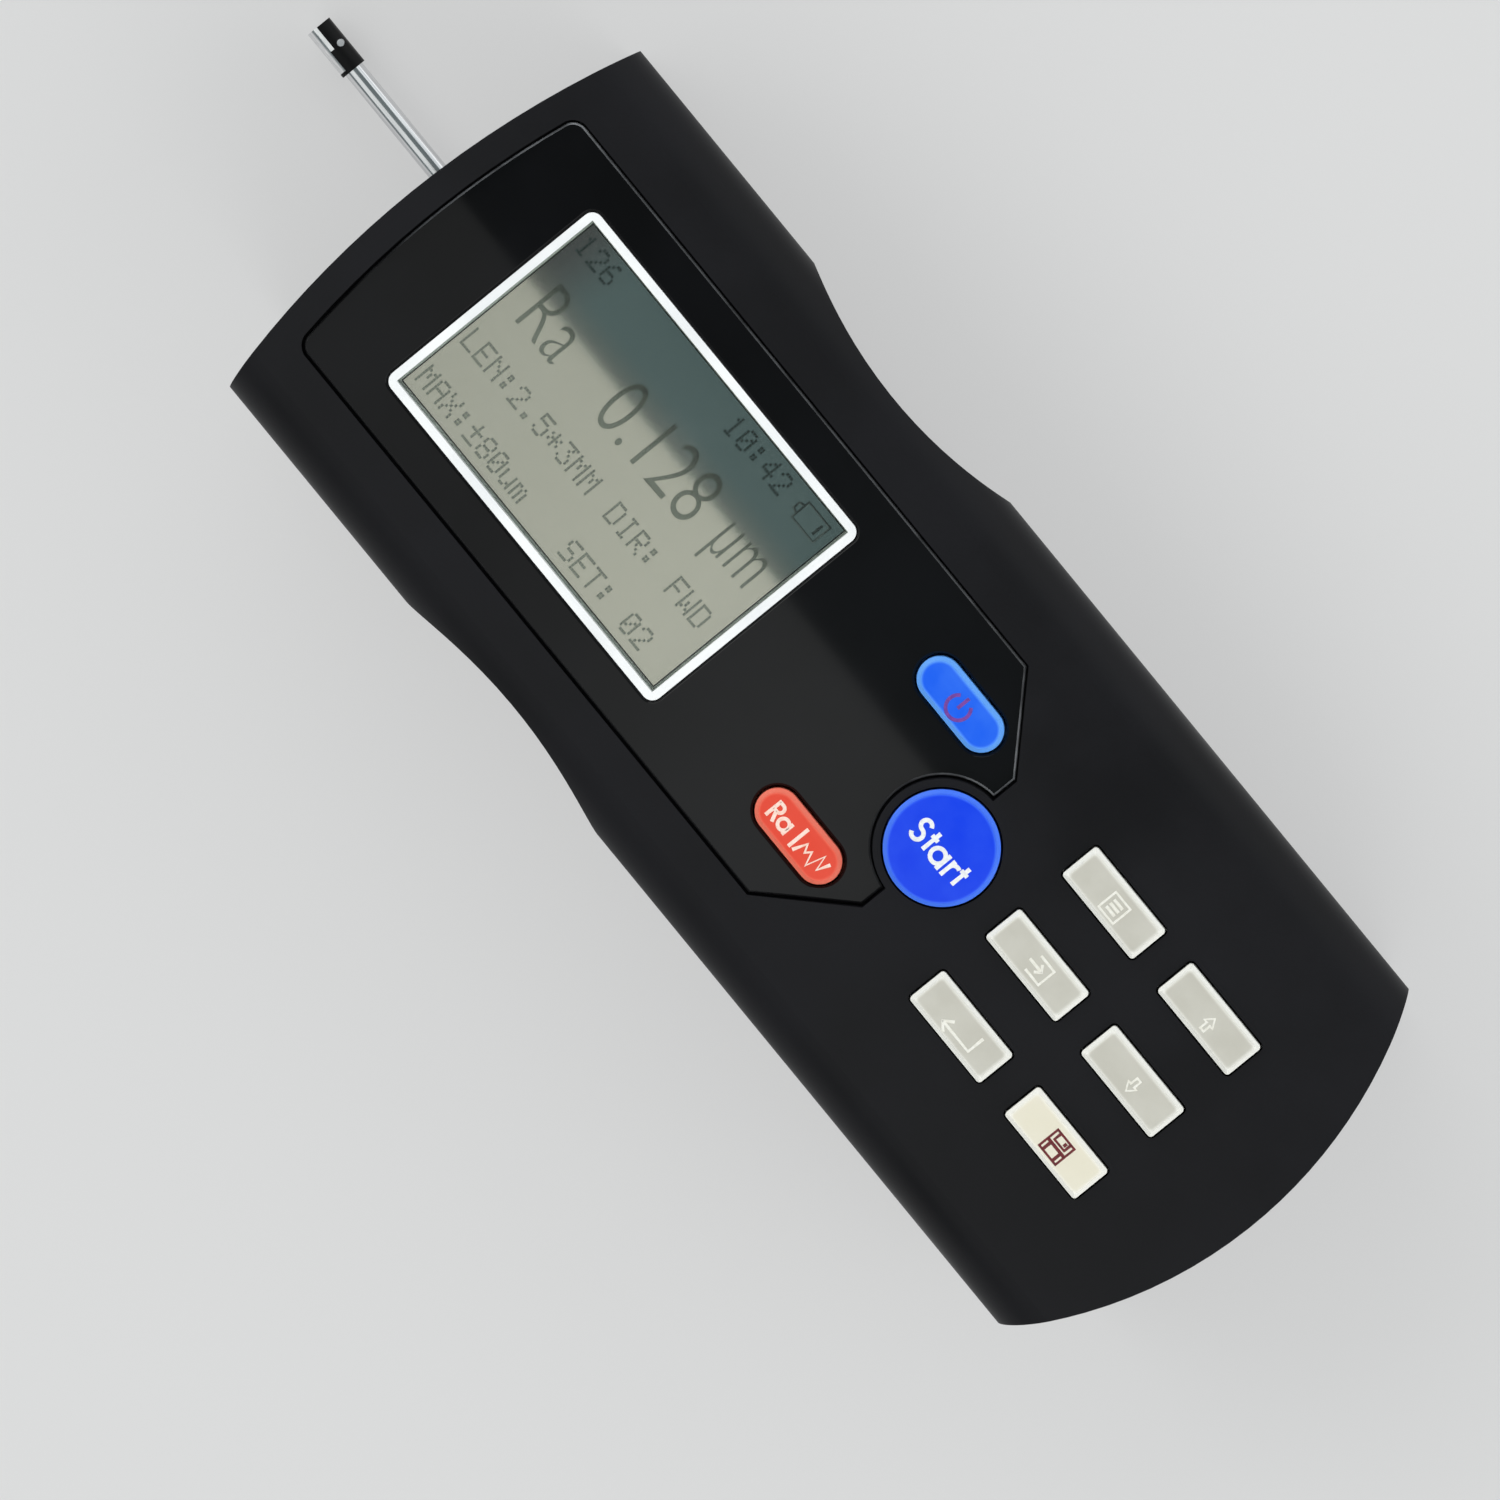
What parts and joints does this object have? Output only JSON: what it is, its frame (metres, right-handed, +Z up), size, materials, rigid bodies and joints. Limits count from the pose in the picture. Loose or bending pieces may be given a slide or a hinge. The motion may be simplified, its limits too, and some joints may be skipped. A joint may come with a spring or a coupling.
{
  "type": "surface roughness tester",
  "caption": "Hand-held surface roughness tester: crowned black housing with display panel, keypad and a skidded stylus pickup that a lead screw draws into the housing.",
  "frame": {"origin": "middle of the flat base, under the centre of the housing", "axes": "+X from the stylus end to the keypad end, +Y to the top edge of the display, +Z up"},
  "size_m": [0.161, 0.0564, 0.0492],
  "materials": {
    "cover_black": "fine textured moulded plastic, near black",
    "panel_gloss": "polished black plate",
    "frame_white": "satin white",
    "lens_clear": "clear, polished",
    "cell_grey": "grey-green liquid crystal glass",
    "carrier_ivory": "moulded ivory plastic",
    "board_green": "green solder mask on glass laminate",
    "chip_black": "moulded epoxy",
    "switch_grey": "dark grey moulding",
    "screw_steel": "zinc plated",
    "battery_sleeve": "blue heat-shrunk sleeve",
    "socket_steel": "nickel plated sheet",
    "insert_brass": "turned",
    "frame_alloy": "milled, bead blasted",
    "rod_steel": "ground and polished",
    "motor_steel": "drawn can, brushed",
    "bearing_steel": "ground rings",
    "limit_black": "moulded",
    "coupling_alloy": "grey anodised",
    "lead_steel": "rolled thread",
    "carriage_alloy": "dark anodised",
    "nut_brass": "turned",
    "holder_black": "black acetal",
    "tube_chrome": "polished tube",
    "nose_black": "satin black",
    "skid_steel": "polished",
    "arm_steel": "spring steel",
    "tip_gem": "ground gem point",
    "start_blue": "satin blue",
    "power_blue": "satin light blue",
    "display_red": "satin red orange",
    "key_ivory": "satin grey ivory",
    "key_cream": "satin cream"
  },
  "bodies": {
    "housing": {"top_cover": "cover_black", "bottom_cover": "cover_black", "panel_plate": "panel_gloss", "display_frame": "frame_white", "display_lens": "lens_clear", "display_cell": "cell_grey", "display_carrier": "carrier_ivory", "main_board": "board_green", "board_chips": "chip_black", "key_switches": "switch_grey", "board_screws": "screw_steel", "cover_screws": "screw_steel", "battery_pack": "battery_sleeve", "data_socket": "socket_steel", "stand_insert": "insert_brass", "drive_frame": "frame_alloy", "guide_rods": "rod_steel", "gear_motor": "motor_steel", "motor_screws": "screw_steel", "screw_bearings": "bearing_steel", "limit_switches": "limit_black", "drive_screws": "screw_steel"},
    "screw_shaft": {"motor_shaft": "bearing_steel", "shaft_coupling": "coupling_alloy", "lead_screw": "lead_steel"},
    "pickup_carriage": {"carriage": "carriage_alloy", "drive_nut": "nut_brass", "pickup_holder": "holder_black", "clamp_screw": "screw_steel", "pickup_tube": "tube_chrome", "nose_carrier": "nose_black", "skid_shoe": "skid_steel", "nose_screw": "screw_steel"},
    "stylus_lever": {"stylus_arm": "arm_steel", "stylus_tip": "tip_gem"},
    "start_key": {"start_key": "start_blue"},
    "power_key": {"power_key": "power_blue"},
    "display_key": {"display_key": "display_red"},
    "menu_key": {"menu_key": "key_ivory"},
    "up_key": {"up_key": "key_ivory"},
    "output_key": {"output_key": "key_ivory"},
    "down_key": {"down_key": "key_ivory"},
    "enter_key": {"enter_key": "key_ivory"},
    "save_key": {"save_key": "key_cream"}
  },
  "joints": [
    {"name": "pickup_traverse", "type": "slide", "parent": "housing", "child": "pickup_carriage", "axis": [1, 0, 0], "range_m": [0, 0.0175]},
    {"name": "lead_screw_turn", "type": "hinge", "parent": "housing", "child": "screw_shaft", "pos_m": [-0.02, 0, 0.017], "axis": [1, 0, 0], "range_deg": [0, 6300.1]},
    {"name": "stylus_tilt", "type": "hinge", "parent": "pickup_carriage", "child": "stylus_lever", "pos_m": [-0.0868, 0.0005, 0.0021], "axis": [0, 1, 0], "range_deg": [-2, 2], "stiffness_Nm_per_rad": 0.001},
    {"name": "start_key_press", "type": "slide", "parent": "housing", "child": "start_key", "axis": [0, 0, -1], "range_m": [0, 0.0008], "stiffness_N_per_m": 2500},
    {"name": "power_key_press", "type": "slide", "parent": "housing", "child": "power_key", "axis": [0, 0, -1], "range_m": [0, 0.0008], "stiffness_N_per_m": 2500},
    {"name": "display_key_press", "type": "slide", "parent": "housing", "child": "display_key", "axis": [0, 0, -1], "range_m": [0, 0.0008], "stiffness_N_per_m": 2500},
    {"name": "menu_key_press", "type": "slide", "parent": "housing", "child": "menu_key", "axis": [0, 0, -1], "range_m": [0, 0.0008], "stiffness_N_per_m": 2500},
    {"name": "up_key_press", "type": "slide", "parent": "housing", "child": "up_key", "axis": [0, 0, -1], "range_m": [0, 0.0008], "stiffness_N_per_m": 2500},
    {"name": "output_key_press", "type": "slide", "parent": "housing", "child": "output_key", "axis": [0, 0, -1], "range_m": [0, 0.0008], "stiffness_N_per_m": 2500},
    {"name": "down_key_press", "type": "slide", "parent": "housing", "child": "down_key", "axis": [0, 0, -1], "range_m": [0, 0.0008], "stiffness_N_per_m": 2500},
    {"name": "enter_key_press", "type": "slide", "parent": "housing", "child": "enter_key", "axis": [0, 0, -1], "range_m": [0, 0.0008], "stiffness_N_per_m": 2500},
    {"name": "save_key_press", "type": "slide", "parent": "housing", "child": "save_key", "axis": [0, 0, -1], "range_m": [0, 0.0008], "stiffness_N_per_m": 2500}
  ],
  "couplings": [
    {"joint": "lead_screw_turn", "follows": "pickup_traverse", "rad_per_m": 6283.2}
  ]
}
